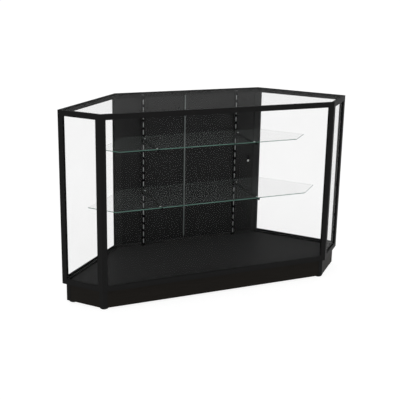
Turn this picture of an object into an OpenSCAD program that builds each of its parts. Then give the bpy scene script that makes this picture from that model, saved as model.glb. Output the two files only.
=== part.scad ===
// Corner showcase: a hexagonal glass display cabinet on a recessed base.
// An aluminium frame holds five glass sides and a glass top. The back has two bypass sliding
// doors with a cam lock, and two slotted standards carry knife brackets and glass shelves.
// X runs along the front, Y to the back and Z up. The origin is the centre of the footprint
// on the floor.

/* [Overall size] */
// Length of the front side between its two corner vertices
front_w = 1210; // [900:5:1500]
// Length of each short front corner side
short_side = 229; // [180:1:300]
// Length of each long rear corner side
long_side = 503; // [430:1:620]
// Height of the whole cabinet
overall_h = 965; // [850:5:1200]
// Turn of each corner side away from the front
corner_angle = 45; // [40:1:50]

/* [Frame] */
// Height of the top and bottom rails
rail_h = 27; // [24:1:34]
// Depth of the rails, from the outer face inwards
rail_d = 22; // [20:1:30]
// Depth of the rear rails, which carry the door tracks
rear_rail_d = 27; // [26:1:32]
// Width of each corner post face
post_w = 26; // [22:1:34]
// Depth of the posts, from the outer face inwards
post_d = 16; // [14:1:20]
// Thickness of the outer wall of the rails and posts
outer_wall = 5; // [3:0.5:6]
// Thickness of the panes and the top glass
pane_t = 5; // [4:0.5:6]
// Width of the channel that holds a pane and its two gaskets
channel_w = 7; // [6.5:0.5:9]
// Depth of the pane channel in a rail
channel_deep = 13; // [10:1:15]
// Height of the step between the outer and inner walls of a rail
lip_step = 7; // [6.5:0.5:9]

/* [Base and deck] */
// Height of the recessed base, floor to frame
base_h = 100; // [70:5:150]
// Setback of the base from the frame's outer face
base_inset = 14; // [8:1:20]
// Thickness of the base boards
board_t = 14; // [12:1:18]
// Gap between the floor and the base boards
floor_gap = 8; // [6:1:12]
// Width of each face of the base corner posts
base_post_w = 21; // [16:1:30]
// Thickness of the deck panel
deck_t = 12; // [10:1:15]
// Radius of the corner glides
glide_r = 22; // [18:1:24]

/* [Sliding doors] */
// Overlap of the two doors in the middle
door_overlap = 56; // [30:2:60]
// Thickness of the door glass
door_glass_t = 5; // [4:0.5:6]
// Height of the bottom shoe on each door
shoe_h = 13; // [12:1:18]
// Height of the lock above the floor
lock_z = 546; // [460:2:640]
// Distance from the lock's centre to the face of the rear right post
lock_from_post = 29; // [20:1:30]
// Height of the finger pulls above the floor
pull_z = 470; // [380:5:500]
// Radius of the finger pulls
pull_r = 20; // [14:1:24]

/* [Shelves] */
// Distance of each slotted standard from the middle
standard_x = 267; // [180:1:300]
// Width of a standard
standard_w = 16; // [14:1:20]
// Depth of a standard
standard_d = 12; // [10:1:15]
// Spacing of the slots
slot_pitch = 41; // [30:1:50]
// Height of the first slot above the deck
first_slot = 28; // [20:1:30]
// Slot that carries the lower shelf, counted from the first
lower_slot = 7; // [4:1:8]
// Slot that carries the upper shelf, counted from the first
upper_slot = 14; // [11:1:17]
// Thickness of the shelf glass
shelf_t = 6; // [5:0.5:8]
// Depth of the lower shelf
lower_depth = 338; // [280:2:360]
// Depth of the upper shelf
upper_depth = 280; // [200:2:330]
// Gap between the long rear edges of the lower shelf and the frame's outer face
lower_side_gap = 30; // [20:1:60]
// Gap between the long rear edges of the upper shelf and the frame's outer face
upper_side_gap = 44; // [30:1:90]
// Run of the cut front corners of the lower shelf
lower_nose = 113; // [60:1:140]
// Run of the cut front corners of the upper shelf
upper_nose = 92; // [50:1:110]
// How far both shelves lie to the right of the middle
shelf_shift = 18; // [0:1:20]

/* [Hidden] */
$fn = 48;

// Cut and seam allowances
eps = 1;
big = 60;

// Plan outline, counter-clockwise from the left corner
short_x = short_side * cos(corner_angle);
short_y = short_side * sin(corner_angle);
long_x = long_side * sin(corner_angle);
long_y = long_side * cos(corner_angle);
plan_depth = short_y + long_y;
half_w = front_w / 2 + short_x;
rear_half = half_w - long_x;
front_y = -plan_depth / 2;
rear_y = plan_depth / 2;
OUTLINE = [
    [-half_w, front_y + short_y],
    [-front_w / 2, front_y],
    [front_w / 2, front_y],
    [half_w, front_y + short_y],
    [rear_half, rear_y],
    [-rear_half, rear_y]
];
// Sides of the outline, each named by the vertex that it starts from
SHORT_LEFT = 0;
FRONT = 1;
SHORT_RIGHT = 2;
LONG_RIGHT = 3;
REAR = 4;
LONG_LEFT = 5;
GLAZED = [SHORT_LEFT, FRONT, SHORT_RIGHT, LONG_RIGHT, LONG_LEFT];

function vertex(i) = OUTLINE[(i + 6) % 6];
function side_len(i) = norm(vertex(i + 1) - vertex(i));
function along(i) = (vertex(i + 1) - vertex(i)) / side_len(i);
function inward(i) = [-along(i)[1], along(i)[0]];
// Point near vertex i at distance d0 from the side before it and d1 from the side after it
function corner_pt(i, d0, d1) =
    let (n0 = inward(i - 1 + 6), n1 = inward(i + 6), c = n0 * n1)
    vertex(i) + n0 * (d0 - c * d1) / (1 - c * c) + n1 * (d1 - c * d0) / (1 - c * c);
function inset_outline(d) = [for (i = [0:5]) corner_pt(i, d, d)];
function side_angle(i) = atan2(along(i)[1], along(i)[0]);
function depth_of(i) = (i + 6) % 6 == REAR ? rear_rail_d : rail_d;
function post_depth_of(i) = (i + 6) % 6 == REAR ? rear_rail_d : post_d;

// Frame levels
frame_top = overall_h;
top_rail_z = frame_top - rail_h;
bottom_rail_top = base_h + rail_h;
pane_in = outer_wall + (channel_w - pane_t) / 2;
pane_out = pane_in + pane_t;
lip_in = outer_wall + channel_w;
pane_bottom = bottom_rail_top - channel_deep + 1;
pane_top = top_rail_z + channel_deep - 1;
channel_side = 8;

// Glass top
top_glass_t = pane_t;
top_glass_z = frame_top - 0.5 - top_glass_t;
glass_edge = lip_in + 1;

// Corner keys inside the rails
key_in = lip_in + 1.5;
key_w = 6;
key_h = 8;
key_len = 45;

// Door planes, as distances in from the rear face
shoe_t = door_glass_t + 2;
outer_plane = 3;
inner_plane = 14;
groove_w = shoe_t + 1;
groove_deep = 14;
track_z = bottom_rail_top - lip_step;
track_base = 2;
rib_w = 1.5;
rib_top = track_z + 5.5;
shoe_z = track_z + 2.6;
shoe_top = shoe_z + shoe_h;
shoe_groove_w = 3;
shoe_groove_top = shoe_z + 5.4;
door_glass_z = shoe_z + 7.4;
door_glass_top = top_rail_z + 11;
jamb_deep = 8;
jamb_gap = 2;
mitre_clear = 6;
door_far = rear_half - post_w + jamb_deep - jamb_gap;
door_near = -door_overlap / 2;
door_len = door_far - door_near;
glide_len = 40;
glide_h = 2.1;
pull_t = 2.5;
pull_lip = 3;
pull_dish = 1.7;
pull_from_post = 45;

// Lock
lock_x = rear_half - post_w - lock_from_post;
lock_hole_r = 9.2;
barrel_r = 8.8;
plug_r = 4;
plug_gap = 0.35;
flange_r = 12;
flange_t = 2.6;
nut_r = 11;
nut_t = 1.8;
cam_t = 1.2;
cam_w = 9;
cam_reach = lock_from_post + 9;
cap_r = 6.5;
cap_t = 1.6;
door_face = inner_plane + 1 + door_glass_t;
cam_plane = door_face + nut_t + 0.3;
keyway_w = 1.4;
keyway_l = 5;

// Deck and base
deck_z = base_h;
deck_top = deck_z + deck_t;
deck_edge = rail_d + 0.5;
base_post_d = board_t + 1;
block_size = 48;
block_h = 52;
glide_set = base_inset + glide_r + 2;
foot_t = 7;
foot_bevel = 2.5;
foot_stem_r = 4;
foot_stem_h = 38;
cleat_l = 70;
cleat_s = 18;

// Standards, brackets and shelves
standard_back = rear_rail_d;
standard_front = standard_back + standard_d;
standard_wall = 1.5;
standard_top = frame_top - lip_step - 2;
standard_foot = deck_z + 1;
notch_gap = 0.5;
slot_w = 5;
slot_h = 25;
slot_margin = 4;
slot_count = floor((standard_top - slot_margin - slot_h / 2 - deck_top - first_slot) / slot_pitch) + 1;
screw_r = 2;
screw_bite = 7;
head_r = 3.5;
head_t = 1.6;
standard_screw_zs = [deck_top + 4, top_rail_z + 12];
bracket_t = 4;
bracket_rise = 12;
bracket_root = 24;
bracket_nose = 9;
hook_in = 4.5;
hook_h = 20;
hook_drop = 4.5;
pad_r = 4.5;
pad_t = 1.5;
shelf_back = standard_front + 1;
lip_t = 3;
lip_gap = 1;
pad_from_ends = 30;

function slot_z(k) = deck_top + first_slot + k * slot_pitch;
function bracket_z(k) = slot_z(k) + bracket_rise;
function shelf_z(k) = bracket_z(k) + pad_t;

// ---- Helpers ----

module slab(points, z0, z1) {
    translate([0, 0, z0]) linear_extrude(z1 - z0) polygon(points);
}

// Places its children with X along side i, Y inwards and the start vertex at the origin
module on_side(i) {
    translate([vertex(i)[0], vertex(i)[1], 0]) rotate([0, 0, side_angle(i)]) children();
}

// Box in the local frame of side i: s along the side, d inwards, z up
module side_box(i, s0, s1, d0, d1, z0, z1) {
    on_side(i) translate([s0, d0, z0]) cube([s1 - s0, d1 - d0, z1 - z0]);
}

// Cutting box that runs past both ends of side i
module side_cut(i, d0, d1, z0, z1) {
    side_box(i, -big, side_len(i) + big, d0, d1, z0, z1);
}

// Cylinder whose axis runs inwards from the rear face at x
module rear_cylinder(x, z, d0, d1, r) {
    translate([x, rear_y - d0, z]) rotate([90, 0, 0]) cylinder(h = d1 - d0, r = r);
}

// Box given by x, distances in from the rear face, and z
module rear_box(x0, x1, d0, d1, z0, z1) {
    translate([x0, rear_y - d1, z0]) cube([x1 - x0, d1 - d0, z1 - z0]);
}

// ---- Rails ----

// Mitred blank of the rail on side i
module rail_blank(i, z0, z1) {
    slab([
        vertex(i), vertex(i + 1),
        corner_pt((i + 1) % 6, depth_of(i), depth_of(i + 1)),
        corner_pt(i, depth_of(i - 1), depth_of(i))
    ], z0, z1);
}

// Cavity that takes the corner keys
module key_cavity(i, z0) {
    side_cut(i, key_in, key_in + key_w, z0, z0 + key_h);
}

top_key_z = frame_top - lip_step - 2 - key_h;
bottom_key_z = base_h + 3;

module top_rail(i) {
    difference() {
        rail_blank(i, top_rail_z, frame_top);
        side_cut(i, outer_wall, lip_in, top_rail_z - eps, top_rail_z + channel_deep);
        side_cut(i, lip_in, big, top_rail_z - eps, top_rail_z + lip_step);
        side_cut(i, lip_in, big, frame_top - lip_step, frame_top + eps);
        key_cavity(i, top_key_z);
    }
}

module bottom_rail(i) {
    difference() {
        rail_blank(i, base_h, bottom_rail_top);
        side_cut(i, outer_wall, lip_in, bottom_rail_top - channel_deep, bottom_rail_top + eps);
        side_cut(i, lip_in, big, bottom_rail_top - lip_step, bottom_rail_top + eps);
        key_cavity(i, bottom_key_z);
    }
}

module standard_screw_holes(z) {
    for (sx = [-1, 1])
        rear_cylinder(sx * standard_x, z, rear_rail_d - 4, rear_rail_d + eps, screw_r);
}

module top_rail_rear() {
    color("#1b1b1b") difference() {
        rail_blank(REAR, top_rail_z, frame_top);
        for (d = [outer_plane, inner_plane])
            side_cut(REAR, d - 0.5, d - 0.5 + groove_w, top_rail_z - eps, top_rail_z + groove_deep);
        side_cut(REAR, inner_plane + groove_w - 0.5, big, top_rail_z - eps, top_rail_z + lip_step);
        side_cut(REAR, lip_in, big, frame_top - lip_step, frame_top + eps);
        standard_screw_holes(standard_screw_zs[1]);
    }
}

module bottom_rail_rear() {
    color("#1b1b1b") difference() {
        rail_blank(REAR, base_h, bottom_rail_top);
        side_cut(REAR, outer_plane - 0.5, big, track_z, bottom_rail_top + eps);
        standard_screw_holes(standard_screw_zs[0]);
    }
}

module top_rail_front() { color("#1b1b1b") top_rail(FRONT); }
module top_rail_short_left() { color("#1b1b1b") top_rail(SHORT_LEFT); }
module top_rail_short_right() { color("#1b1b1b") top_rail(SHORT_RIGHT); }
module top_rail_long_left() { color("#1b1b1b") top_rail(LONG_LEFT); }
module top_rail_long_right() { color("#1b1b1b") top_rail(LONG_RIGHT); }
module bottom_rail_front() { color("#1b1b1b") bottom_rail(FRONT); }
module bottom_rail_short_left() { color("#1b1b1b") bottom_rail(SHORT_LEFT); }
module bottom_rail_short_right() { color("#1b1b1b") bottom_rail(SHORT_RIGHT); }
module bottom_rail_long_left() { color("#1b1b1b") bottom_rail(LONG_LEFT); }
module bottom_rail_long_right() { color("#1b1b1b") bottom_rail(LONG_RIGHT); }

// ---- Posts ----

// Section of the post at vertex i: a leg along each of its two sides
module post_blank(i, z0, z1) {
    d0 = post_depth_of(i - 1);
    d1 = post_depth_of(i);
    start = vertex(i) - along(i - 1 + 6) * post_w;
    end = vertex(i) + along(i) * post_w;
    slab([
        start, vertex(i), end, end + inward(i) * d1,
        corner_pt(i, d0, d1), start + inward(i - 1 + 6) * d0
    ], z0, z1);
}

// Channels for the panes on both sides of vertex i
module post_channels(i) {
    before = (i + 5) % 6;
    z0 = base_h - eps;
    z1 = frame_top + eps;
    if (i != REAR)
        side_box(i, post_w - channel_side, post_w + eps, outer_wall, lip_in, z0, z1);
    if (before != REAR)
        side_box(before, side_len(before) - post_w - eps, side_len(before) - post_w + channel_side,
            outer_wall, lip_in, z0, z1);
}

module post(i) {
    difference() {
        post_blank(i, bottom_rail_top, top_rail_z);
        post_channels(i);
    }
}

// Rear post: its rear leg stands on the track rail, and one door closes into its channel
module rear_post(i, plane) {
    at_start = i == REAR;
    foot_s = at_start ? mitre_clear : side_len(REAR) - post_w;
    jamb_s = at_start ? post_w - jamb_deep : side_len(REAR) - post_w - eps;
    difference() {
        union() {
            post_blank(i, bottom_rail_top, top_rail_z);
            side_box(REAR, foot_s, foot_s + post_w - mitre_clear, outer_plane - 0.5,
                rear_rail_d, track_z, bottom_rail_top);
        }
        post_channels(i);
        side_box(REAR, jamb_s, jamb_s + jamb_deep + eps, plane - 0.5, plane - 0.5 + groove_w,
            track_z - eps, frame_top);
        children();
    }
}

module post_side_left() { color("#1b1b1b") post(0); }
module post_front_left() { color("#1b1b1b") post(1); }
module post_front_right() { color("#1b1b1b") post(2); }
module post_side_right() { color("#1b1b1b") post(3); }
module post_rear_left() { color("#1b1b1b") rear_post(LONG_LEFT, outer_plane); }

// The right post also has the slot that the lock's cam turns into
module post_rear_right() {
    color("#1b1b1b") rear_post(REAR, inner_plane)
        rear_box(rear_half - post_w - eps, rear_half - post_w + 11,
            inner_plane - 0.5 + groove_w - 0.2, cam_plane + cam_t + 0.6,
            lock_z - cam_w / 2 - 1, lock_z + cam_reach);
}

// Bent key that joins two rails at vertex i
module corner_key(i, z0) {
    inner = key_in + key_w;
    a = corner_pt(i, key_in, key_in);
    slab([
        a, a + along(i) * key_len, a + along(i) * key_len + inward(i) * key_w,
        corner_pt(i, inner, inner),
        a - along(i + 5) * key_len + inward(i + 5) * key_w, a - along(i + 5) * key_len
    ], z0, z0 + key_h);
}

module corner_keys() {
    color("#8a8c8e") for (i = [0:3]) {
        corner_key(i, top_key_z);
        corner_key(i, bottom_key_z);
    }
}

// ---- Glazing ----

module pane(i) {
    edge = post_w - channel_side + 1;
    color("#cfe0da", 0.3)
        side_box(i, edge, side_len(i) - edge, pane_in, pane_out, pane_bottom, pane_top);
}

module pane_front() { pane(FRONT); }
module pane_short_left() { pane(SHORT_LEFT); }
module pane_short_right() { pane(SHORT_RIGHT); }
module pane_long_left() { pane(LONG_LEFT); }
module pane_long_right() { pane(LONG_RIGHT); }

// Strips that wedge each pane in its channels, on both faces and all four edges
module pane_strips(i, d0, d1, lip) {
    len = side_len(i);
    s0 = post_w;
    step = lip ? lip_step : 0;
    bottom = bottom_rail_top - step;
    top = top_rail_z + step;
    side_box(i, s0, len - s0, d0, d1, bottom - 4, bottom);
    side_box(i, s0, len - s0, d0, d1, top, top + 4);
    side_box(i, s0 - 5, s0, d0, d1, bottom_rail_top, top_rail_z);
    side_box(i, len - s0, len - s0 + 5, d0, d1, bottom_rail_top, top_rail_z);
}

module pane_gaskets() {
    color("#101010") for (i = GLAZED) {
        pane_strips(i, outer_wall, pane_in, false);
        pane_strips(i, pane_out, lip_in, true);
    }
}

module top_glass() {
    color("#cfe0da", 0.3) slab(inset_outline(glass_edge), top_glass_z, top_glass_z + top_glass_t);
}

module top_glass_gasket() {
    z0 = frame_top - lip_step;
    color("#101010") difference() {
        slab(inset_outline(glass_edge + 0.5), z0, top_glass_z);
        slab(inset_outline(rail_d - 0.5), z0 - eps, top_glass_z + eps);
    }
}

// ---- Deck and base ----

cleat_face = base_inset + 1 + board_t;

// Two cleats on each long side and one on each short side
function cleat_places(i) =
    side_len(i) > 300 ? [side_len(i) * 0.25, side_len(i) * 0.75] : [side_len(i) / 2];

// Places its children at the two screws of every cleat, at height z
module at_cleat_screws(z) {
    for (i = [0:5], s = cleat_places(i), e = [-1, 1]) on_side(i)
        translate([s + e * cleat_l / 4, cleat_face + cleat_s / 2, z]) children();
}

// The deck is notched round the feet of the standards and their screw heads
module deck_panel() {
    notch = standard_w / 2 + notch_gap;
    color("#1d1d1d") difference() {
        slab(inset_outline(deck_edge), deck_z, deck_top);
        side_cut(REAR, -eps, rear_rail_d, deck_z - eps, deck_top + eps);
        for (sx = [-1, 1])
            rear_box(sx * standard_x - notch, sx * standard_x + notch, rear_rail_d - eps,
                standard_front + head_t + notch_gap, deck_z - eps, deck_top + eps);
        at_cleat_screws(deck_z - eps) cylinder(h = screw_bite + eps, r = screw_r);
    }
}

// Outer corner of the base at vertex i
function base_corner(i) = corner_pt(i % 6, base_inset, base_inset);

module base_board(i) {
    s0 = (base_corner(i) - vertex(i)) * along(i) + base_post_w;
    s1 = side_len(i) + (base_corner(i + 1) - vertex(i + 1)) * along(i) - base_post_w;
    color("#211c19")
        side_box(i, s0, s1, base_inset + 1, base_inset + 1 + board_t, floor_gap, base_h);
}

module base_board_front() { base_board(FRONT); }
module base_boards_short() { for (i = [SHORT_LEFT, SHORT_RIGHT]) base_board(i); }
module base_boards_long() { for (i = [LONG_LEFT, LONG_RIGHT]) base_board(i); }
module base_board_rear() { base_board(REAR); }

// Angle post at a corner of the base, between the ends of two boards
module base_post(i) {
    before = i + 5;
    out = base_corner(i);
    in = corner_pt(i, base_inset + base_post_d, base_inset + base_post_d);
    end = out + along(i) * base_post_w;
    start = out - along(before) * base_post_w;
    slab([
        start, out, end, end + inward(i) * base_post_d, in, start + inward(before) * base_post_d
    ], floor_gap, base_h);
}

module base_corner_posts() { color("#1b1b1b") for (i = [0:5]) base_post(i); }

// Point on the corner's bisector at distance d from both sides
function glide_pt(i) = corner_pt(i, glide_set, glide_set);

// Block behind each base post that takes the stem of the glide
module base_block(i) {
    d0 = base_inset + base_post_d;
    before = i + 5;
    a = corner_pt(i, d0, d0);
    difference() {
        slab([
            a, a + along(i) * block_size,
            corner_pt(i, d0 + block_size * 0.7, d0 + block_size * 0.7),
            a - along(before) * block_size
        ], floor_gap, floor_gap + block_h);
        translate([glide_pt(i)[0], glide_pt(i)[1], floor_gap - eps])
            cylinder(h = foot_stem_h + eps, r = foot_stem_r);
    }
}

module base_corner_blocks() { color("#b99a6b") for (i = [0:5]) base_block(i); }

// Bevelled glide with the stem that is pressed into its block
module corner_glide() {
    rotate_extrude() polygon([
        [0, 0], [glide_r - foot_bevel, 0], [glide_r, foot_bevel], [glide_r, foot_t],
        [foot_stem_r, foot_t], [foot_stem_r, foot_stem_h], [0, foot_stem_h]
    ]);
}

module corner_glides() {
    color("#141414") for (i = [0:5])
        translate([glide_pt(i)[0], glide_pt(i)[1], 0]) corner_glide();
}

module base_cleats() {
    color("#b99a6b") difference() {
        for (i = [0:5], s = cleat_places(i))
            side_box(i, s - cleat_l / 2, s + cleat_l / 2, cleat_face, cleat_face + cleat_s,
                base_h - cleat_s, base_h);
        at_cleat_screws(base_h - cleat_s - eps) cylinder(h = cleat_s + 2 * eps, r = screw_r);
    }
}

// Screws up through each cleat into the deck
module base_screws() {
    color("#9a9a98") at_cleat_screws(base_h - cleat_s - head_t) union() {
        cylinder(h = head_t, r = head_r);
        cylinder(h = head_t + cleat_s + screw_bite, r = screw_r);
    }
}

// ---- Door track and doors ----

module lower_door_track() {
    x = rear_half - post_w;
    color("#8f9194") union() {
        rear_box(-x, x, outer_plane - 0.5, rear_rail_d - 1, track_z, track_z + track_base);
        for (d = [outer_plane, inner_plane])
            rear_box(-x, x, d + shoe_t / 2 - rib_w / 2, d + shoe_t / 2 + rib_w / 2,
                track_z, rib_top);
    }
}

// Places its children for the left door as drawn for the right one, mirrored
module door_side(left) {
    mirror([left ? 1 : 0, 0, 0]) children();
}

module door_shoe(plane) {
    mid = plane + shoe_t / 2;
    color("#1b1b1b") difference() {
        rear_box(door_near, door_far, plane, plane + shoe_t, shoe_z, shoe_top);
        rear_box(door_near - eps, door_far + eps, plane + 1, plane + 1 + door_glass_t,
            door_glass_z, shoe_top + eps);
        rear_box(door_near - eps, door_far + eps, mid - shoe_groove_w / 2,
            mid + shoe_groove_w / 2, shoe_z - eps, shoe_groove_top);
    }
}

module door_glass(plane) {
    color("#15181a") rear_box(door_near, door_far, plane + 1, plane + 1 + door_glass_t,
        door_glass_z, door_glass_top);
}

// Round pull with a shallow dish, stuck to the outer face of a door
module door_pull(plane) {
    x = rear_half - post_w - pull_from_post;
    face = plane + 1;
    color("#8f9194") difference() {
        rear_cylinder(x, pull_z, face - pull_t, face, pull_r);
        rear_cylinder(x, pull_z, face - pull_t - eps, face - pull_t + pull_dish, pull_r - pull_lip);
    }
}

// Nylon slips in the groove of a shoe, just above the rib
module door_glides(plane) {
    mid = plane + shoe_t / 2;
    color("#e8e6de") for (x = [door_near + 50, door_far - 50])
        rear_box(x - glide_len / 2, x + glide_len / 2, mid - shoe_groove_w / 2,
            mid + shoe_groove_w / 2, shoe_groove_top - glide_h, shoe_groove_top);
}

module left_door_glass() { door_side(true) door_glass(outer_plane); }
module left_door_shoe() { door_side(true) door_shoe(outer_plane); }
module left_door_pull() { door_side(true) door_pull(outer_plane); }
module left_door_glides() { door_side(true) door_glides(outer_plane); }

module right_door_glass() {
    color("#15181a") difference() {
        door_glass(inner_plane);
        rear_cylinder(lock_x, lock_z, inner_plane, door_face + eps, lock_hole_r);
    }
}

module right_door_shoe() { door_shoe(inner_plane); }
module right_door_pull() { door_pull(inner_plane); }
module right_door_glides() { door_glides(inner_plane); }

// ---- Lock ----

// Flange outside the glass, barrel through it and nut inside it
module lock_barrel() {
    outside = inner_plane + 1;
    color("#9a9fa0") difference() {
        union() {
            rear_cylinder(lock_x, lock_z, outside - flange_t, outside, flange_r);
            rear_cylinder(lock_x, lock_z, outside - flange_t, door_face + nut_t, barrel_r);
            rear_cylinder(lock_x, lock_z, door_face, door_face + nut_t, nut_r);
        }
        rear_cylinder(lock_x, lock_z, 0, door_face + big, plug_r + plug_gap);
    }
}

// Turning plug with its keyway
module lock_plug() {
    outside = inner_plane + 1 - flange_t;
    color("#b08a3c") difference() {
        rear_cylinder(lock_x, lock_z, outside, cam_plane, plug_r);
        rear_box(lock_x - keyway_w / 2, lock_x + keyway_w / 2, outside - eps, outside + 4,
            lock_z - keyway_l / 2, lock_z + keyway_l / 2);
    }
}

// Cam, upright when unlocked
module lock_cam() {
    color("#2a2a2a") union() {
        rear_cylinder(lock_x, lock_z, cam_plane, cam_plane + cam_t, cap_r - 0.5);
        rear_box(lock_x - cam_w / 2, lock_x + cam_w / 2, cam_plane, cam_plane + cam_t,
            lock_z, lock_z + cam_reach);
    }
}

// Round cap that holds the cam on the plug
module lock_cap() {
    color("#9aa19b")
        rear_cylinder(lock_x, lock_z, cam_plane + cam_t, cam_plane + cam_t + cap_t, cap_r);
}

// ---- Standards, brackets and shelves ----

// Slotted channel, open at the back
module standard(x) {
    half = standard_w / 2;
    color("#1b1b1b") difference() {
        rear_box(x - half, x + half, standard_back, standard_front, standard_foot, standard_top);
        rear_box(x - half + standard_wall, x + half - standard_wall, standard_back - eps,
            standard_front - standard_wall, standard_foot - eps, standard_top + eps);
        for (k = [0:slot_count - 1])
            rear_box(x - slot_w / 2, x + slot_w / 2, standard_back, standard_front + eps,
                slot_z(k) - slot_h / 2, slot_z(k) + slot_h / 2);
        for (z = standard_screw_zs)
            rear_cylinder(x, z, standard_back, standard_front + eps, screw_r);
    }
}

module standard_left() { standard(-standard_x); }
module standard_right() { standard(standard_x); }

// Screws that hold the standards to the rear rails
module standard_screws() {
    color("#3a3a3a") for (sx = [-1, 1], z = standard_screw_zs) union() {
        rear_cylinder(sx * standard_x, z, rear_rail_d - 4, standard_front + head_t / 2, screw_r);
        rear_cylinder(sx * standard_x, z, standard_front, standard_front + head_t, head_r);
    }
}

// Side profile of a bracket: reach along X, height along Y, top edge at 0
module bracket_profile(reach) {
    nose = reach + lip_gap + lip_t;
    lip_top = pad_t + shelf_t - 1;
    seat = -bracket_rise - slot_h / 2;
    hook_low = seat - hook_drop;
    hook_high = hook_low + hook_h;
    polygon([
        [0, 0], [reach + lip_gap, 0], [reach + lip_gap, lip_top], [nose, lip_top],
        [nose, 4 - bracket_nose], [nose - 4, -bracket_nose], [0, -bracket_root],
        [0, seat], [-standard_wall, seat], [-standard_wall, hook_low], [-hook_in, hook_low],
        [-hook_in, hook_high - 2], [2 - hook_in, hook_high], [0, hook_high]
    ]);
}

// Bracket that carries a shelf of the given depth from slot k of the standard at x
module bracket(x, k, depth) {
    reach = depth + shelf_back - standard_front;
    color("#1b1b1b") translate([x + bracket_t / 2, rear_y - standard_front, bracket_z(k)])
        rotate([90, 0, -90]) linear_extrude(bracket_t) bracket_profile(reach);
}

module brackets_upper() {
    for (sx = [-1, 1]) bracket(sx * standard_x, upper_slot, upper_depth);
}

module brackets_lower() {
    for (sx = [-1, 1]) bracket(sx * standard_x, lower_slot, lower_depth);
}

// Clear pads between the brackets and the glass
module pads(k, depth) {
    for (sx = [-1, 1], y = [shelf_back + pad_from_ends, shelf_back + depth - pad_from_ends])
        translate([sx * standard_x, rear_y - y, bracket_z(k)]) cylinder(h = pad_t, r = pad_r);
}

module bracket_pads() {
    color("#d8dcd8") {
        pads(upper_slot, upper_depth);
        pads(lower_slot, lower_depth);
    }
}

// Hexagonal shelf whose sides follow the cabinet's; the front corners are cut at the same angle
module shelf(k, depth, side_gap, nose) {
    back = rear_y - shelf_back;
    front = back - depth;
    rear_x = corner_pt(REAR, side_gap, shelf_back)[0];
    wide_y = front + nose;
    wide_x = rear_x + (back - wide_y) * long_x / long_y;
    nose_x = wide_x - nose * short_x / short_y;
    color("#d3e6df", 0.35) translate([shelf_shift, 0, 0]) slab([
        [-wide_x, wide_y], [-nose_x, front], [nose_x, front], [wide_x, wide_y],
        [rear_x, back], [-rear_x, back]
    ], shelf_z(k), shelf_z(k) + shelf_t);
}

module shelf_upper() { shelf(upper_slot, upper_depth, upper_side_gap, upper_nose); }
module shelf_lower() { shelf(lower_slot, lower_depth, lower_side_gap, lower_nose); }

top_rail_front();
top_rail_short_left();
top_rail_short_right();
top_rail_long_left();
top_rail_long_right();
top_rail_rear();
bottom_rail_front();
bottom_rail_short_left();
bottom_rail_short_right();
bottom_rail_long_left();
bottom_rail_long_right();
bottom_rail_rear();
post_side_left();
post_front_left();
post_front_right();
post_side_right();
post_rear_right();
post_rear_left();
corner_keys();
pane_front();
pane_short_left();
pane_short_right();
pane_long_left();
pane_long_right();
pane_gaskets();
top_glass();
top_glass_gasket();
deck_panel();
base_board_front();
base_boards_short();
base_boards_long();
base_board_rear();
base_corner_posts();
base_corner_blocks();
base_cleats();
base_screws();
corner_glides();
lower_door_track();
standard_left();
standard_right();
standard_screws();
brackets_upper();
brackets_lower();
bracket_pads();
shelf_upper();
shelf_lower();
left_door_glass();
left_door_shoe();
left_door_pull();
left_door_glides();
right_door_glass();
right_door_shoe();
right_door_pull();
right_door_glides();
lock_barrel();
lock_plug();
lock_cam();
lock_cap();
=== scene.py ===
"""Looks of a hexagonal corner showcase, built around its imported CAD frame.

The frame gives every place and size. This script adds the finishes, the small pieces that only
matter to the eye, the studio and the camera.
"""

import logging
import math
from collections.abc import Callable
from dataclasses import dataclass
from enum import Enum

import bmesh
import bpy
from mathutils import Matrix, Vector


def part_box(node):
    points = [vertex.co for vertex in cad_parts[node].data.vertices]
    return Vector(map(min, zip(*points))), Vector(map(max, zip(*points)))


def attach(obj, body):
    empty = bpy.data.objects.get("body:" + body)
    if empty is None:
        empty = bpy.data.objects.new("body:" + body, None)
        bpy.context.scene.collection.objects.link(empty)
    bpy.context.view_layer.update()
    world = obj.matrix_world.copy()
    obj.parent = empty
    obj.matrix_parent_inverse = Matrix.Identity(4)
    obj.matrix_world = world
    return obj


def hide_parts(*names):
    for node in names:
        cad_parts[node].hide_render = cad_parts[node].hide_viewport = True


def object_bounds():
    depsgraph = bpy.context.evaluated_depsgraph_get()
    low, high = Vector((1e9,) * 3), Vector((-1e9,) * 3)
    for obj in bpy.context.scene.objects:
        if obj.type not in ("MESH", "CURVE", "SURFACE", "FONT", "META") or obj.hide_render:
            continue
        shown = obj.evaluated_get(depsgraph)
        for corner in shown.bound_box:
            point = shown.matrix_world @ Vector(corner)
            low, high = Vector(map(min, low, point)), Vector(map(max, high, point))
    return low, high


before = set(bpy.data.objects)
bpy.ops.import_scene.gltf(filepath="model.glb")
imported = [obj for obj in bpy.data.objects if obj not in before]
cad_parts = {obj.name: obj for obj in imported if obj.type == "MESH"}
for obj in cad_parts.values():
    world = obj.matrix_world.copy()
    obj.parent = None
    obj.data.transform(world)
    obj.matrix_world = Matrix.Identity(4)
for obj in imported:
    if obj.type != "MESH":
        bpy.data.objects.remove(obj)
CAD_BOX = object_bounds()

MM = 0.001
LOG = logging.getLogger("showcase")

# Colour of the lights and the surroundings
WHITE = (1.0, 1.0, 1.0, 1.0)
# Noise seldom leaves this part of its range, so the darker and lighter ends lie here
NOISE_SPAN = (0.3, 0.7)
# Layers of detail in a brushed grain and in a plain one, and how strong the finer ones are
BRUSHED_DETAIL = 6.0
PLAIN_DETAIL = 3.0
GRAIN_STRENGTH = 0.55
# Softness of the borders between zinc spangles
SPANGLE_SOFTNESS = 0.2
# Waviness and detail of the rings in sawn wood
WOOD_RINGS = {"Distortion": 5.0, "Detail": 4.0, "Detail Scale": 1.5}
# Size of the smears in the film on clean glass, in millimetres, and their layers of detail
FILM_MM = 90.0
FILM_DETAIL = 2.0
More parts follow.
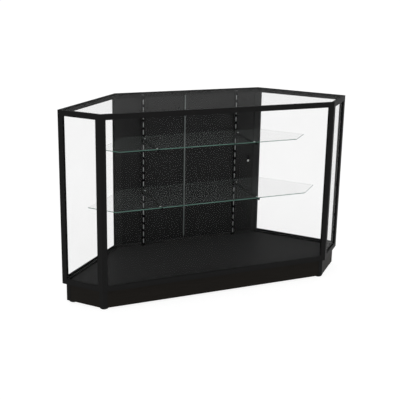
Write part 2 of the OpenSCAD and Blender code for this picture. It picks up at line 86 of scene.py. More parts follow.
# Lowest and highest roughness of clean glass, and the IOR of float glass
GLASS_ROUGHNESS = (0.02, 0.09)
FLOAT_GLASS_IOR = 1.52
# Power of Schlick's rule for the gloss of glass
SCHLICK_POWER = 5.0
# Faces that meet at less than this angle are shaded as one surface
SMOOTH_DEG = 35.0
# A face looks along an axis when its normal's share along that axis is larger than this
EDGE_ON = 0.8
# Steps round a turned piece
TURN_STEPS = 48
# Decimals of a metre that tell the corners of a prism apart
CORNER_DECIMALS = 6


# ---- Colours and shader nodes ----


def linear(code: str) -> tuple[float, float, float, float]:
    """Turns an sRGB hex colour into the linear colour that shaders take.

    Args:
        code: Colour such as "#1b1b1b".

    Returns:
        Linear red, green, blue and an alpha of 1.
    """
    shares = [int(code[i : i + 2], 16) / 255 for i in (1, 3, 5)]
    # The curve of the sRGB standard
    parts = [s / 12.92 if s <= 0.04045 else ((s + 0.055) / 1.055) ** 2.4 for s in shares]
    return (*parts, 1.0)


def add_node(
    tree: bpy.types.NodeTree,
    kind: str,
    settings: dict | None = None,
    links: dict | None = None,
) -> bpy.types.Node:
    """Adds one shader node with its settings and links.

    Args:
        tree: Node tree that takes the node.
        kind: Blender's name of the node's type.
        settings: Values by input name or number, or by property name in lower case.
        links: Output sockets by the name or number of the input that each one feeds.

    Returns:
        The new node.
    """
    node = tree.nodes.new(kind)
    for key, value in (settings or {}).items():
        if isinstance(key, str) and key.islower():
            setattr(node, key, value)
        else:
            node.inputs[key].default_value = value
    for key, source in (links or {}).items():
        tree.links.new(source, node.inputs[key])
    return node


def blank_material(name: str) -> bpy.types.Material:
    """Makes a material whose node tree is still empty.

    Args:
        name: Name of the material.

    Returns:
        The new material.
    """
    made = bpy.data.materials.new(name)
    made.use_nodes = True
    made.node_tree.nodes.clear()
    return made


def show_surface(tree: bpy.types.NodeTree, shader: bpy.types.Node) -> None:
    """Makes a shader the surface of its material.

    Args:
        tree: Node tree of the material.
        shader: The shader's node.
    """
    add_node(tree, "ShaderNodeOutputMaterial", links={"Surface": shader.outputs["BSDF"]})


class Pattern(Enum):
    """Surface structures that a finish can have."""

    PEBBLE = "pebble"
    BRUSHED = "brushed"
    SPANGLE = "spangle"
    WOOD = "wood"


@dataclass(frozen=True)
class Finish:
    """An opaque finish with a structure in its colour, gloss and surface.

    Attributes:
        name: Name of the material.
        low: Darker sRGB colour of the structure.
        high: Lighter sRGB colour of the structure.
        roughness: Lowest and highest roughness.
        cell_mm: Size of the structure's cells, in millimetres.
        depth_mm: Height of the structure, in millimetres.
        pattern: Kind of structure.
        stretch: How many times closer the structure is along X, Y and Z.
        metallic: 1 for bare metal, 0 for the rest.
        specular: Level of the reflection of a surface that isn't metal.
    """

    name: str
    low: str
    high: str
    roughness: tuple[float, float]
    cell_mm: float
    depth_mm: float
    pattern: Pattern = Pattern.PEBBLE
    stretch: tuple[float, float, float] = (1.0, 1.0, 1.0)
    metallic: float = 0.0
    specular: float = 0.5

    def structure(self, tree: bpy.types.NodeTree) -> bpy.types.NodeSocket:
        """Adds the texture nodes of the pattern.

        Args:
            tree: Node tree of the material.

        Returns:
            Socket that runs from 0 to 1 over the structure.
        """
        place = add_node(tree, "ShaderNodeTexCoord").outputs["Object"]
        stretched = add_node(
            tree, "ShaderNodeMapping", {"Scale": self.stretch}, {"Vector": place}
        ).outputs["Vector"]
        scale = 1 / (self.cell_mm * MM)
        if self.pattern is Pattern.SPANGLE:
            cells = {"feature": "SMOOTH_F1", "Scale": scale, "Smoothness": SPANGLE_SOFTNESS}
            return add_node(
                tree, "ShaderNodeTexVoronoi", cells, {"Vector": stretched}
            ).outputs["Distance"]
        if self.pattern is Pattern.WOOD:
            rings = {"Scale": scale, **WOOD_RINGS}
            return add_node(tree, "ShaderNodeTexWave", rings, {"Vector": stretched}).outputs["Fac"]
        detail = BRUSHED_DETAIL if self.pattern is Pattern.BRUSHED else PLAIN_DETAIL
        grains = {"Scale": scale, "Detail": detail, "Roughness": GRAIN_STRENGTH}
        return add_node(tree, "ShaderNodeTexNoise", grains, {"Vector": stretched}).outputs["Fac"]

    def material(self) -> bpy.types.Material:
        """Makes the material once, and gives the same one after that.

        Returns:
            The material of this finish.
        """
        made = bpy.data.materials.get(self.name)
        if made is not None:
            return made
        made = blank_material(self.name)
        tree = made.node_tree
        structure = self.structure(tree)
        colour = add_node(tree, "ShaderNodeValToRGB", links={"Fac": structure})
        ends = zip(colour.color_ramp.elements, (self.low, self.high), NOISE_SPAN)
        for end, code, position in ends:
            end.color = linear(code)
            end.position = position
        gloss = add_node(
            tree,
            "ShaderNodeMapRange",
            {"To Min": self.roughness[0], "To Max": self.roughness[1]},
            {"Value": structure},
        )
        links = {"Base Color": colour.outputs["Color"], "Roughness": gloss.outputs["Result"]}
        if self.depth_mm > 0:
            relief = {"Strength": 1.0, "Distance": self.depth_mm * MM}
            bump = add_node(tree, "ShaderNodeBump", relief, {"Height": structure})
            links["Normal"] = bump.outputs["Normal"]
        shader = add_node(
            tree,
            "ShaderNodeBsdfPrincipled",
            {"Metallic": self.metallic, "Specular IOR Level": self.specular},
            links,
        )
        show_surface(tree, shader)
        return made


@dataclass(frozen=True)
class Glass:
    """Clear float glass, as a thin veil that lets the rest through.

    Attributes:
        name: Name of the material.
        veil: sRGB colour of the little that the glass gives back.
        facing: Share given back by each face where it is looked at squarely.
        grazing: Share added where it is looked at along its surface.
        smear: Change in that share from the film left by cleaning, 0 to 1.
        specular: Level of the mirror reflection within that share.
    """

    name: str
    veil: str
    facing: float
    grazing: float
    smear: float
    specular: float = 0.5

    def material(self) -> bpy.types.Material:
        """Makes the material once, and gives the same one after that.

        Returns:
            The material of this glass.
        """
        made = bpy.data.materials.get(self.name)
        if made is not None:
            return made
        made = blank_material(self.name)
        tree = made.node_tree
        place = add_node(tree, "ShaderNodeTexCoord").outputs["Object"]
        film = add_node(
            tree,
            "ShaderNodeTexNoise",
            {"Scale": 1 / (FILM_MM * MM), "Detail": FILM_DETAIL},
            {"Vector": place},
        )
        slant = add_node(tree, "ShaderNodeLayerWeight")
        steep = add_node(
            tree,
            "ShaderNodeMath",
            {"operation": "POWER", 1: SCHLICK_POWER},
            {0: slant.outputs["Facing"]},
        )
        share = add_node(
            tree,
            "ShaderNodeMath",
            {"operation": "MULTIPLY_ADD", 1: self.grazing, 2: self.facing},
            {0: steep.outputs["Value"]},
        )
        filmed = add_node(
            tree,
            "ShaderNodeMapRange",
            {
                "From Min": NOISE_SPAN[0],
                "From Max": NOISE_SPAN[1],
                "To Min": 1 - self.smear,
                "To Max": 1 + self.smear,
            },
            {"Value": film.outputs["Fac"]},
        )
        alpha = add_node(
            tree,
            "ShaderNodeMath",
            {"operation": "MULTIPLY"},
            {0: share.outputs["Value"], 1: filmed.outputs["Result"]},
        )
        gloss = add_node(
            tree,
            "ShaderNodeMapRange",
            {"To Min": GLASS_ROUGHNESS[0], "To Max": GLASS_ROUGHNESS[1]},
            {"Value": film.outputs["Fac"]},
        )
        shader = add_node(
            tree,
            "ShaderNodeBsdfPrincipled",
            {
                "Base Color": linear(self.veil),
                "IOR": FLOAT_GLASS_IOR,
                "Specular IOR Level": self.specular,
            },
            {"Roughness": gloss.outputs["Result"], "Alpha": alpha.outputs["Value"]},
        )
        show_surface(tree, shader)
        return made


# ---- Finishes ----

# Extruded aluminium, etched and anodised black: the etch leaves a satin black of fine grain,
# drawn at 1.6 mm because the real 0.1 mm can't show
ANODISED = Finish(
    "black_anodised_aluminium", "#151515", "#1b1b1b", (0.42, 0.58), 1.6, 0.02, specular=0.05
)
# Painted shade: the inner flanges under the glass top take a darker copy of the anodised black,
# near black
FLANGE_PAINTED_SHADE = Finish(
    "black_anodised_flange_painted_shade", "#030303", "#060606", (0.55, 0.70), 1.6, 0.02, specular=0.02
)
# Painted light: the rear posts, rear sill and door track take a lighter copy of the same anodised
# black, for the glass haze over them
REAR_ANODISED_PAINTED_LIGHT = Finish(
    "black_anodised_rear_painted_light", "#202020", "#292929", (0.42, 0.58), 1.6, 0.02, specular=0.05
)
# Float glass set upright: almost nothing comes back, and what is behind it is a little greyer
PANE_GLASS = Glass("clear_float_glass", "#434545", 0.034, 0.30, 0.06)
# The same glass lying flat: the light from above lies on it as a pale veil
TOP_GLASS = Glass("clear_float_glass_top", "#757776", 0.073, 0.02, 0.06, 0.08)
# Float glass of the shelves: a faint, slightly green veil over what stands behind it
SHELF_GLASS = Glass("clear_shelf_glass", "#a4aba8", 0.050, 0.01, 0.06)
# Ground and polished edge of float glass: light that ran through the sheet leaves it green
GLASS_EDGE = Glass("polished_glass_edge", "#527e70", 0.84, 0.05, 0.05)
# The rear edges are only seamed, and look into the sheet: next to nothing shows of them
HIDDEN_EDGE = Glass("seamed_shelf_edge", "#8fa39c", 0.10, 0.05, 0.05)
# Tempered glass painted black, with an anti-glare etch: deep and even, with a soft gloss
DOOR_GLASS = Finish(
    "black_painted_glass", "#1b1b1b", "#1e1e1e", (0.30, 0.38), 120.0, 0.0, specular=0.05
)
# Seamed edge of the black glass: a dull grey green
DOOR_EDGE = Finish("seamed_glass_edge", "#5d6664", "#6c7573", (0.30, 0.45), 3.0, 0.02)
# Clear vinyl guard on the meeting edge of a door: grey, soft and slightly green
EDGE_GUARD = Finish("clear_vinyl_guard", "#5c6462", "#717977", (0.25, 0.40), 4.0, 0.01)
# High pressure laminate, black with a pebbled texture of about 1 mm, drawn at 2.5 mm
DECK_LAMINATE = Finish(
    "black_pebbled_laminate", "#252525", "#2e2e2e", (0.48, 0.62), 2.5, 0.03, specular=0.05
)
# Black-brown wood print laminate of the toe kick: dark streaks along each board
BASE_LAMINATE = Finish(
    "black_brown_laminate",
    "#151310",
    "#1d1a17",
    (0.45, 0.60),
    9.0,
    0.02,
    Pattern.BRUSHED,
    (0.12, 0.12, 6.0),
    specular=0.05,
)
# Sawn pine, unfinished, for the blocks and cleats that never show
PINE = Finish(
    "sawn_pine", "#a98453", "#cfae7c", (0.65, 0.85), 14.0, 0.12, Pattern.WOOD, (0.3, 1.0, 1.0)
)
# Zinc plated steel: bright blue-grey with spangles of a few millimetres
ZINC = Finish(
    "zinc_plated_steel",
    "#8d9093",
    "#b4b8bb",
    (0.30, 0.45),
    5.0,
    0.01,
    Pattern.SPANGLE,
    metallic=1.0,
)
# The unpainted inside of the standards, under the black coat: bright zinc
BRIGHT_ZINC = Finish(
    "bright_zinc_lining", "#d2d5d6", "#e6e8e8", (0.35, 0.50), 4.0, 0.01, Pattern.SPANGLE
)
# Powder coat on steel: matt black with an orange peel of about 1 mm
POWDER_COAT = Finish(
    "black_powder_coat", "#010101", "#040404", (0.55, 0.70), 1.2, 0.03, specular=0.01
)
# Extruded rubber of the glazing gaskets: dull and soft black
RUBBER = Finish("black_rubber", "#141414", "#1a1a1a", (0.70, 0.85), 1.5, 0.02, specular=0.15)
# Moulded nylon of the corner glides, with the fine spark texture of its mould
BLACK_NYLON = Finish(
    "black_moulded_nylon", "#101010", "#171717", (0.45, 0.60), 1.0, 0.03, specular=0.20
)
# Moulded nylon of the slips under the doors: off-white and a little waxy
WHITE_NYLON = Finish("white_moulded_nylon", "#dcdad0", "#eae8df", (0.40, 0.55), 1.0, 0.02)
# Soft clear bumper, slightly milky
PAD = Finish("milky_bumper", "#b9c0bc", "#cfd5d1", (0.20, 0.35), 2.0, 0.01)
# Turned brass under satin chrome plate: fine rings, soft bright gloss
SATIN_CHROME = Finish(
    "satin_chrome_plate",
    "#b4bab5",
    "#c9cfca",
    (0.22, 0.34),
    0.8,
    0.004,
    Pattern.BRUSHED,
    (1.0, 1.0, 6.0),
    metallic=1.0,
)
# Turned brass of the lock's plug
BRASS = Finish(
    "turned_brass", "#a88442", "#c7a45c", (0.25, 0.38), 0.8, 0.004, Pattern.BRUSHED, metallic=1.0
)


# ---- Meshes ----


def fill_mesh(
    name: str, points: list[Vector], faces: list[tuple[int, ...]], marks: list[int]
) -> bpy.types.Object:
    """Makes an object of points and faces, with every face turned outwards.

    Args:
        name: Name of the piece.
        points: Places of its points, in metres.
        faces: Point numbers of each face.
        marks: Material number of each face.

    Returns:
        The new object, linked to the scene.
    """
    mesh = bpy.data.meshes.new(name)
    mesh.from_pydata([tuple(p) for p in points], [], faces)
    mesh.polygons.foreach_set("material_index", marks)
    work = bmesh.new()
    work.from_mesh(mesh)
    bmesh.ops.recalc_face_normals(work, faces=work.faces)
    work.to_mesh(mesh)
    work.free()
    mesh.polygons.foreach_set("use_smooth", [True] * len(mesh.polygons))
    mesh.set_sharp_from_angle(angle=math.radians(SMOOTH_DEG))
    piece = bpy.data.objects.new(name, mesh)
    bpy.context.scene.collection.objects.link(piece)
    return piece


def ring_faces(count: int, rings: int) -> list[tuple[int, ...]]:
    """Gives the faces of the skin that joins rings of points.

    Args:
        count: Points in each ring.
        rings: Number of rings.

    Returns:
        Point numbers of each face, ring by ring.
    """
    faces = []
    for low in range(0, (rings - 1) * count, count):
        for i in range(count):
            j = (i + 1) % count
            faces.append((low + i, low + j, low + count + j, low + count + i))
    return faces


def stacked(name: str, rings: list[list[Vector]], mark_sides: int = 0) -> bpy.types.Object:
    """Joins rings of equal length into one skin, with a cap on the first and the last.

    Args:
        name: Name of the piece.
        rings: Rings of points, in order along the piece.
        mark_sides: Material number of the skin between the rings.

    Returns:
        The new object.
    """
    count = len(rings[0])
    points = [p for ring in rings for p in ring]
    faces = ring_faces(count, len(rings))
    marks = [mark_sides] * len(faces) + [0, 0]
    top = (len(rings) - 1) * count
    faces += [tuple(reversed(range(count))), tuple(range(top, top + count))]
    return fill_mesh(name, points, faces, marks)


def inset(outline: list[Vector], by: float) -> list[Vector]:
    """Moves every side of a convex outline inwards.

    Args:
        outline: Corners in counter-clockwise order, with no height.
        by: Distance that each side moves, in metres.

    Returns:
        Corners of the smaller outline.
    """
    smaller = []
    for k, corner in enumerate(outline):
        before = (corner - outline[k - 1]).normalized()
        after = (outline[(k + 1) % len(outline)] - corner).normalized()
        normals = [Vector((-d.y, d.x)) for d in (before, after)]
        cosine = normals[0].dot(normals[1])
        smaller.append(corner + (normals[0] + normals[1]) * by / (1 + cosine))
    return smaller


def turned(
    name: str, centre: Vector, out: float, profile: list[tuple[float, float]]
) -> bpy.types.Object:
    """Turns a profile about the Y axis.

    Args:
        name: Name of the piece.
        centre: Point on the axis where the profile's height is 0.
        out: 1 if the height grows towards +Y, -1 towards -Y.
        profile: Radius and height of each point of a closed section, in millimetres, that
            starts and ends on the axis.

    Returns:
        The new object.
    """
    hub = [centre + Vector((0, out * h * MM, 0)) for _, h in (profile[0], profile[-1])]
    rings = []
    for radius, height in profile[1:-1]:
        ring = []
        for k in range(TURN_STEPS):
            angle = 2 * math.pi * k / TURN_STEPS
            spoke = Vector((math.cos(angle), 0, math.sin(angle))) * radius * MM
            ring.append(centre + spoke + Vector((0, out * height * MM, 0)))
        rings.append(ring)
    points = [p for ring in rings for p in ring] + hub
    faces = ring_faces(TURN_STEPS, len(rings))
    top = (len(rings) - 1) * TURN_STEPS
    for i in range(TURN_STEPS):
        j = (i + 1) % TURN_STEPS
        faces.append((len(points) - 2, i, j))
        faces.append((len(points) - 1, top + i, top + j))
    return fill_mesh(name, points, faces, [0] * len(faces))


def finish_piece(
    piece: bpy.types.Object,
    body: str,
    finishes: list[Finish | Glass],
    stands_for: tuple[str, ...] = (),
) -> bpy.types.Object:
    """Gives a new piece its materials, its body and the CAD nodes that it stands for.

    Args:
        piece: The piece.
        body: CAD body that it rides on.
        finishes: Finishes by the material numbers of the piece's faces.
        stands_for: CAD nodes that it replaces.

    Returns:
        The same piece.
    """
    for finish in finishes:
        piece.data.materials.append(finish.material())
    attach(piece, body)
    if stands_for:
        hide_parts(*stands_for)
    LOG.info("%s rides on %s", piece.name, body)
    return piece


def dress(names: tuple[str, ...], finish: Finish | Glass) -> None:
    """Gives carried-over CAD nodes one finish.

    Args:
        names: Names of the nodes.
        finish: Finish of all their faces.
    """
    for name in names:
        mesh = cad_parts[name].data
        mesh.materials.clear()
        mesh.materials.append(finish.material())
        LOG.info("%s is dressed in %s", name, finish.name)


def dress_faces(
    name: str, finish: Finish | Glass, chosen: Callable[[bpy.types.MeshPolygon], bool]
) -> None:
    """Gives some faces of a carried-over CAD node their own finish.

    Args:
        name: Name of the node.
        finish: Finish of those faces.
        chosen: Says of a face whether it takes the finish.
    """
    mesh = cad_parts[name].data
    mesh.materials.append(finish.material())
    number = len(mesh.materials) - 1
    for face in mesh.polygons:
        if chosen(face):
            face.material_index = number


def plan_outline(name: str) -> list[Vector]:
    """Reads the outline of an upright prism from its CAD node.

    Args:
        name: Name of the node.

    Returns:
        Its corners in counter-clockwise order, with no height.
    """
    places = [v.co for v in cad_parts[name].data.vertices]
    corners = {(round(p.x, CORNER_DECIMALS), round(p.y, CORNER_DECIMALS)) for p in places}
    points = [Vector(c) for c in corners]
    middle = sum(points, Vector((0, 0))) / len(points)
    return sorted(points, key=lambda p: math.atan2(p.y - middle.y, p.x - middle.x))


# ---- Sub-assemblies ----


@dataclass
class ExtrudedFrame:
    """The black aluminium rails and posts, their keys and the glazing gaskets.

    Attributes:
        sides: Sides of the plan, as in the names of the rails.
        corners: Corners of the plan, as in the names of the posts.
        rim: Depth below the top of the frame where the inner flanges start, in millimetres.
    """

    sides: tuple[str, ...] = (
        "front", "short_left", "short_right", "long_left", "long_right", "rear",
    )
    corners: tuple[str, ...] = (
        "side_left", "front_left", "front_right", "side_right", "rear_right", "rear_left",
    )
    rim: float = 1.0

    def is_painted_shade_flange(self, face: bpy.types.MeshPolygon) -> bool:
        """Tells whether a face of a top rail lies inside the frame, under the glass top, where the
        shade is painted.

        Args:
            face: Face of a top rail.

        Returns:
            True for the faces below the rim that look up or towards the middle.
        """
        if face.center.z > CAD_BOX[1][2] - self.rim * MM:
            return False
        towards = Vector((-face.center.x, -face.center.y, 0)).dot(face.normal)
        return face.normal.z > EDGE_ON or (abs(face.normal.z) < EDGE_ON and towards > 0)

    def build(self) -> None:
        """Dresses the frame."""
        for side in self.sides:
            dress((f"top_rail_{side}",), ANODISED)
            # The inner flanges under the glass top take the near-black copy: painted shade
            dress_faces(f"top_rail_{side}", FLANGE_PAINTED_SHADE, self.is_painted_shade_flange)
            # The rear sill takes the lighter copy of the anodised black: painted light
            dress((f"bottom_rail_{side}",), REAR_ANODISED_PAINTED_LIGHT if side == "rear" else ANODISED)
        for corner in self.corners:
            # The rear posts take the lighter copy of the anodised black: painted light
            dress((f"post_{corner}",), REAR_ANODISED_PAINTED_LIGHT if "rear" in corner else ANODISED)
        dress(("corner_keys",), ZINC)
        dress(("pane_gaskets", "top_glass_gasket"), RUBBER)


@dataclass
class Glazing:
    """The five upright panes and the glass top."""

    panes: tuple[str, ...] = (
        "pane_front", "pane_short_left", "pane_short_right", "pane_long_left", "pane_long_right",
    )

    def build(self) -> None:
        """Dresses the glass."""
        dress(self.panes, PANE_GLASS)
        dress(("top_glass",), TOP_GLASS)


@dataclass
class Plinth:
    """The deck and the recessed base that carries it."""

    def build(self) -> None:
        """Dresses the deck and the base."""
        dress(("deck_panel",), DECK_LAMINATE)
        boards = ("base_board_front", "base_boards_short", "base_boards_long", "base_board_rear")
        dress(boards, BASE_LAMINATE)
        dress(("base_corner_posts",), ANODISED)
        dress(("base_corner_blocks", "base_cleats"), PINE)
        dress(("base_screws",), ZINC)
        dress(("corner_glides",), BLACK_NYLON)


@dataclass
class Standard:
    """One slotted standard with the bright lining that shows through its slots.

    Attributes:
        side: "left" or "right".
        set_in: Distance from the front of the standard to the lining, in millimetres.
        thick: Thickness of the lining, in millimetres.
        wall: Thickness of the standard's walls, in millimetres.
    """

    side: str
    set_in: float = 4.8
    thick: float = 0.8
    wall: float = 1.7

    def build(self) -> None:
        """Dresses the standard and builds its lining."""
        node = f"standard_{self.side}"
        dress((node,), POWDER_COAT)
        low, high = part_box(node)
        xs = (low.x + self.wall * MM, high.x - self.wall * MM)
        ys = (low.y + self.set_in * MM, low.y + (self.set_in + self.thick) * MM)
        outline = [Vector((xs[i], ys[j])) for i, j in ((0, 0), (1, 0), (1, 1), (0, 1))]
        rings = [[Vector((p.x, p.y, z)) for p in outline] for z in (low.z, high.z)]
        lining = stacked(f"{node}_lining", rings)
        finish_piece(lining, "cabinet", [BRIGHT_ZINC])


@dataclass
class GlassShelf:
    """A glass shelf with its edges ground flat and arrised.

    Attributes:
        level: "upper" or "lower".
        arris: Width of the small chamfer along each edge, in millimetres.
        arris_tilt: Upward share of the normal above which a face is an arris.
        rear_turn: Rearward share of the normal above which a face is a rear edge.
    """

    level: str
    arris: float = 0.9
    arris_tilt: float = 0.3
    rear_turn: float = 0.1

    def edge_mark(self, normal: Vector) -> int:
        """Gives the material number of a face round the edge of the shelf.

        Args:
            normal: Normal of the face.

        Returns:
            0 for the arrises, 2 for the rear edges and 1 for the rest.
        """
        if abs(normal.z) > self.arris_tilt:
            return 0
        return 2 if normal.y > self.rear_turn else 1

    def build(self) -> None:
        """Builds the shelf in the place of its CAD solid and dresses its brackets."""
        node = f"shelf_{self.level}"
        low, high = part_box(node)
        outline = plan_outline(node)
        small = inset(outline, self.arris * MM)
        steps = [
            (small, low.z), (outline, low.z + self.arris * MM),
            (outline, high.z - self.arris * MM), (small, high.z),
        ]
        rings = [[Vector((p.x, p.y, z)) for p in ring] for ring, z in steps]
        shelf = stacked(f"{self.level}_shelf_glass", rings, mark_sides=1)
        for face in shelf.data.polygons:
            if face.material_index == 1:
                face.material_index = self.edge_mark(face.normal)
        finishes = [SHELF_GLASS, GLASS_EDGE, HIDDEN_EDGE]
        finish_piece(shelf, f"{self.level}_shelf", finishes, (node,))
        dress((f"brackets_{self.level}",), POWDER_COAT)


@dataclass
class SlidingDoor:
    """One sliding glass door with its shoe, pull, slips and edge guard.

    Attributes:
        side: "left" or "right".
        guard_w: Width of the edge guard's legs, in millimetres.
        guard_t: Thickness of the guard, in millimetres.
        dish: Floor of the pull's dish: distance in from the rim and height of each point.
        lip: Lip of the pull: distance in from the rim and depth below the top of each point.
    """

    side: str
    guard_w: float = 3.6
    guard_t: float = 0.8
    dish: tuple[tuple[float, float], ...] = ((6.0, 0.7), (4.0, 0.9), (3.2, 1.4))
    lip: tuple[tuple[float, float], ...] = (
        (3.0, 0.3), (2.6, 0.0), (0.8, 0.0), (0.2, 0.3), (0.0, 0.9),
    )

    def guard(self) -> None:
        """Builds the U-shaped guard on the door's meeting edge."""
        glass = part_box(f"{self.side}_door_glass")
        shoe_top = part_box(f"{self.side}_door_shoe")[1].z
        wall = self.guard_t * MM
        leg = self.guard_w * MM
        near = glass[0].x if self.side == "right" else glass[1].x
        way = 1 if self.side == "right" else -1
        back, front = glass[0].y - wall, glass[1].y + wall
        section = [
            (near - way * wall, back), (near + way * leg, back), (near + way * leg, back + wall),
            (near, back + wall), (near, front - wall), (near + way * leg, front - wall),
            (near + way * leg, front), (near - way * wall, front),
        ]
        heights = (shoe_top + wall, glass[1].z - wall)
        rings = [[Vector((x, y, z)) for x, y in section] for z in heights]
        piece = stacked(f"{self.side}_door_edge_guard", rings)
        finish_piece(piece, f"{self.side}_door", [EDGE_GUARD])

    def pull(self) -> None:
        """Builds the dished finger pull with rounded rims."""
        node = f"{self.side}_door_pull"
        low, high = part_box(node)
        radius = (high.x - low.x) / 2 / MM
        tall = (high.y - low.y) / MM
        profile = [
            (0.0, self.dish[0][1]),
            *((radius - back, height) for back, height in self.dish),
            *((radius - back, tall - depth) for back, depth in self.lip),
            (radius, 0.0),
            (0.0, 0.0),
        ]
        centre = Vector(((low.x + high.x) / 2, low.y, (low.z + high.z) / 2))
        piece = turned(f"{self.side}_door_finger_pull", centre, 1, profile)
        finish_piece(piece, f"{self.side}_door", [SATIN_CHROME], (node,))

    def build(self) -> None:
        """Dresses the door and builds its guard and pull."""
        node = f"{self.side}_door_glass"
        dress((node,), DOOR_GLASS)
        dress_faces(node, DOOR_EDGE, lambda face: abs(face.normal.x) > EDGE_ON)
        dress((f"{self.side}_door_shoe",), ANODISED)
        dress((f"{self.side}_door_glides",), WHITE_NYLON)
        self.guard()
        self.pull()


@dataclass
class CamLock:
    """The cam lock of the right door, whose nut on the inside of the glass is blackened.

    Attributes:
        skirt: Height of the cap's straight side, as a share of its whole height.
        dome_deg: Angles up the dome of the cap where its rings lie, in degrees.
    """

    skirt: float = 0.3
    dome_deg: tuple[float, ...] = (0, 20, 40, 60, 78)

    def build(self) -> None:
        """Dresses the lock and builds the domed cap on its cam."""
        dress(("lock_barrel",), SATIN_CHROME)
        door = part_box("right_door_glass")[0]
        dress_faces("lock_barrel", POWDER_COAT, lambda face: face.center.y < door.y)
        dress(("lock_plug",), BRASS)
        dress(("lock_cam",), POWDER_COAT)
        low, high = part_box("lock_cap")
        radius = (high.x - low.x) / 2 / MM
        tall = (high.y - low.y) / MM
        dome = [
            (radius * math.cos(a), tall * (self.skirt + (1 - self.skirt) * math.sin(a)))
            for a in map(math.radians, self.dome_deg)
        ]
        profile = [(0.0, 0.0), (radius, 0.0), *dome, (0.0, tall)]
        centre = Vector(((low.x + high.x) / 2, high.y, (low.z + high.z) / 2))
        cap = turned("lock_cap_dome", centre, -1, profile)
        finish_piece(cap, "lock", [SATIN_CHROME], ("lock_cap",))


@dataclass
class Fittings:
    """The small fixed hardware: track, pads and the screws of the standards."""

    def build(self) -> None:
        """Dresses the hardware."""
        # The door track takes the lighter copy of the anodised black: painted light
        dress(("lower_door_track",), REAR_ANODISED_PAINTED_LIGHT)
        dress(("bracket_pads",), PAD)
        dress(("standard_screws",), POWDER_COAT)


# ---- Studio ----


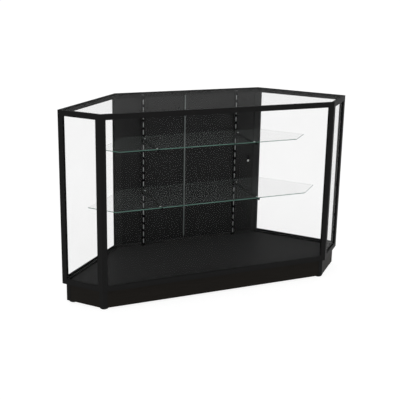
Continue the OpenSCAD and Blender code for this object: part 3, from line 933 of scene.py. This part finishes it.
@dataclass
class Studio:
    """Pale floor, white surroundings, soft light and the camera.

    Attributes:
        place: Place of the camera, in metres.
        heading: Turn of the camera to the right of straight back, in degrees.
        tilt: How far the camera looks down, in degrees.
        roll: Turn of the camera about its own axis, in degrees.
        lens: Focal length, in millimetres.
        sensor: Width of the sensor, in millimetres.
        shift: Sideways and upward shift of the frame, as a share of its width.
        floor_size: Side of the square floor, in metres.
        floor_grey: Linear grey of the floor.
        floor_glow: Light that the floor gives off by itself.
        surround: Strength of the white surroundings as a light.
        box_place: Place of the soft box, in metres.
        box_aim: Height above the middle of the floor that it points at, in metres.
        box_size: Width and height of the soft box, in metres.
        box_power: Power of the soft box, in watts.
    """

    place: tuple[float, float, float] = (-1.299, -3.413, 1.635)
    heading: float = 22.13
    tilt: float = 13.65
    roll: float = 1.42
    lens: float = 65.22
    sensor: float = 36.0
    shift: tuple[float, float] = (-0.052, -0.150)
    floor_size: float = 60.0
    floor_grey: float = 0.30
    floor_glow: float = 0.86
    surround: float = 0.60
    box_place: tuple[float, float, float] = (-1.5, -2.5, 4.5)
    box_aim: float = 0.5
    box_size: tuple[float, float] = (4.0, 3.0)
    box_power: float = 25.0

    def camera(self) -> None:
        """Places the camera and makes it the scene's own."""
        yaw, pitch, roll = (math.radians(a) for a in (self.heading, -self.tilt, self.roll))
        ahead = Vector(
            (math.sin(yaw) * math.cos(pitch), math.cos(yaw) * math.cos(pitch), math.sin(pitch))
        )
        level = Vector((math.cos(yaw), -math.sin(yaw), 0))
        upright = level.cross(ahead)
        right = level * math.cos(roll) + upright * math.sin(roll)
        up = upright * math.cos(roll) - level * math.sin(roll)
        data = bpy.data.cameras.new("studio_camera")
        data.lens = self.lens
        data.sensor_width = self.sensor
        data.shift_x, data.shift_y = self.shift
        data.dof.use_dof = False
        camera = bpy.data.objects.new("studio_camera", data)
        turn = Matrix((right, up, -ahead)).transposed()
        camera.matrix_world = Matrix.Translation(Vector(self.place)) @ turn.to_4x4()
        bpy.context.scene.collection.objects.link(camera)
        bpy.context.scene.camera = camera

    def floor(self) -> None:
        """Lays the pale floor, which glows a little so that it stays as white as the room."""
        half = self.floor_size / 2
        mesh = bpy.data.meshes.new("studio_floor")
        corners = [(-half, -half, 0), (half, -half, 0), (half, half, 0), (-half, half, 0)]
        mesh.from_pydata(corners, [], [(0, 1, 2, 3)])
        floor = bpy.data.objects.new("studio_floor", mesh)
        bpy.context.scene.collection.objects.link(floor)
        made = blank_material("pale_studio_floor")
        tree = made.node_tree
        shader = add_node(
            tree,
            "ShaderNodeBsdfPrincipled",
            {
                "Base Color": (*[self.floor_grey] * 3, 1.0),
                "Roughness": 1.0,
                "Specular IOR Level": 0.0,
                "Emission Color": WHITE,
                "Emission Strength": self.floor_glow,
            },
        )
        show_surface(tree, shader)
        mesh.materials.append(made)

    def light(self) -> None:
        """Lights the room evenly, with one large soft box above and in front."""
        world = bpy.data.worlds.new("white_room")
        world.use_nodes = True
        tree = world.node_tree
        tree.nodes.clear()
        path = add_node(tree, "ShaderNodeLightPath")
        seen = add_node(tree, "ShaderNodeBackground", {"Color": WHITE, "Strength": 1.0})
        lit = add_node(tree, "ShaderNodeBackground", {"Color": WHITE, "Strength": self.surround})
        both = add_node(
            tree,
            "ShaderNodeMixShader",
            links={
                0: path.outputs["Is Camera Ray"],
                1: lit.outputs["Background"],
                2: seen.outputs["Background"],
            },
        )
        add_node(tree, "ShaderNodeOutputWorld", links={"Surface": both.outputs["Shader"]})
        bpy.context.scene.world = world
        data = bpy.data.lights.new("soft_box", "AREA")
        data.shape = "RECTANGLE"
        data.size, data.size_y = self.box_size
        data.energy = self.box_power
        box = bpy.data.objects.new("soft_box", data)
        box.location = self.box_place
        beam = Vector((0, 0, self.box_aim)) - box.location
        box.rotation_euler = beam.to_track_quat("-Z", "Y").to_euler()
        bpy.context.scene.collection.objects.link(box)

    def build(self) -> None:
        """Builds the studio."""
        bpy.context.scene.view_settings.view_transform = "Standard"
        self.camera()
        self.floor()
        self.light()


def main() -> None:
    """Builds the sub-assemblies in order."""
    logging.basicConfig(level=logging.INFO, format="%(name)s: %(message)s")
    parts = [
        Studio(),
        ExtrudedFrame(),
        Glazing(),
        Plinth(),
        Standard("left"),
        Standard("right"),
        GlassShelf("upper"),
        GlassShelf("lower"),
        SlidingDoor("left"),
        SlidingDoor("right"),
        CamLock(),
        Fittings(),
    ]
    for part in parts:
        part.build()
        LOG.info("%s is done", type(part).__name__)


if __name__ == "__main__":
    main()
